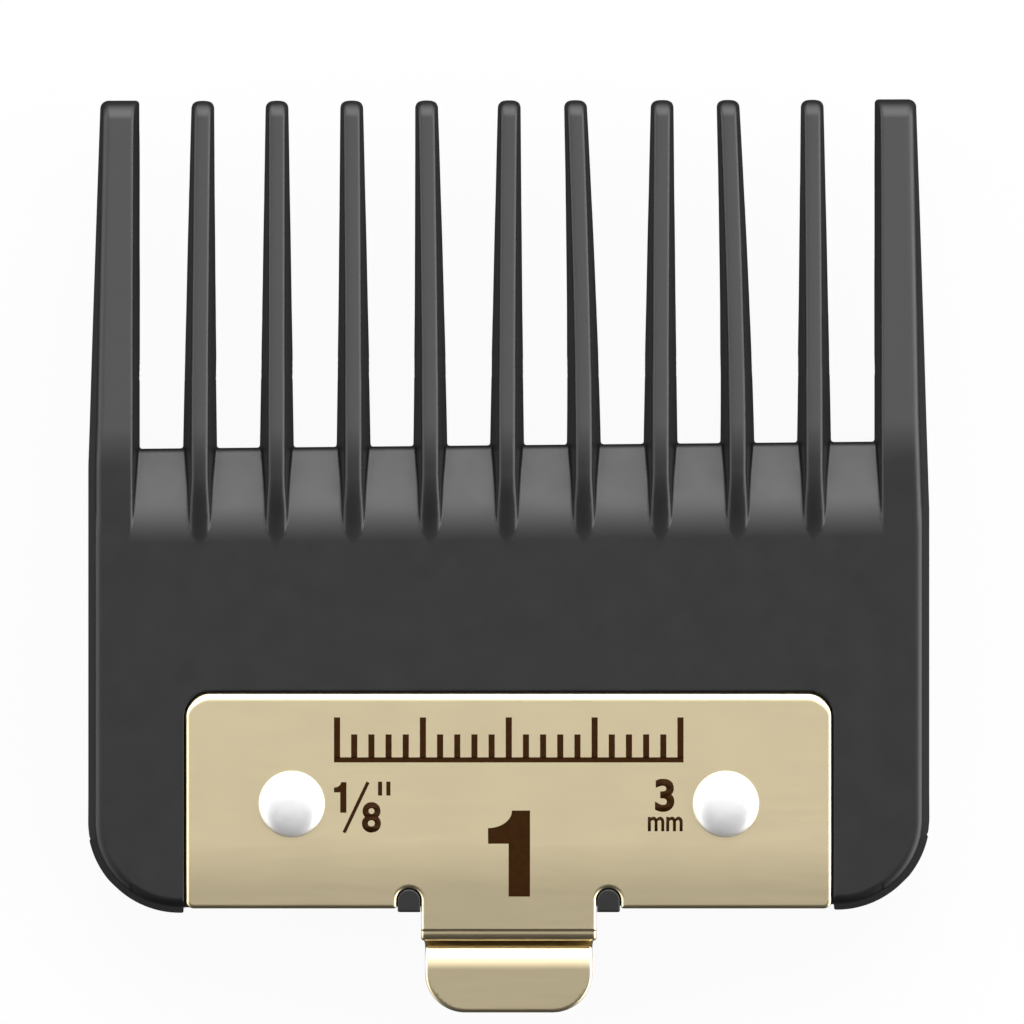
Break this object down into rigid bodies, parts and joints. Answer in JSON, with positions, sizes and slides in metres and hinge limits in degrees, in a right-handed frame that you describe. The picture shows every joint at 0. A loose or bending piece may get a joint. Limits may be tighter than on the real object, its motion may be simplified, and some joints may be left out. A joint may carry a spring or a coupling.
{
  "type": "clipper guard comb",
  "caption": "Slip-on hair clipper guard comb with a row of drafted teeth, a blade pocket and a riveted spring clip with a thumb tab.",
  "frame": {"origin": "under the middle of the comb, on the plane that its side walls stand on", "axes": "+Y along the teeth towards their tips, +Z out of the skin-side face, +X to the right seen from the skin side"},
  "size_m": [0.0496, 0.0538, 0.0093],
  "materials": {
    "comb_plastic": "fine satin moulded texture",
    "clip_steel": "champagne-gold plated, satin",
    "rivet_nickel": "bright nickel plated"
  },
  "bodies": {
    "comb": {"comb_body": "comb_plastic", "clip_plate": "clip_steel", "rivet_left": "rivet_nickel", "rivet_right": "rivet_nickel"},
    "latch": {"latch_tongue": "clip_steel"}
  },
  "joints": [
    {"name": "latch_flex", "type": "hinge", "parent": "comb", "child": "latch", "pos_m": [0, -0.01992, 0.00835], "axis": [-1, 0, 0], "range_deg": [0, 12], "stiffness_Nm_per_rad": 0.3}
  ]
}
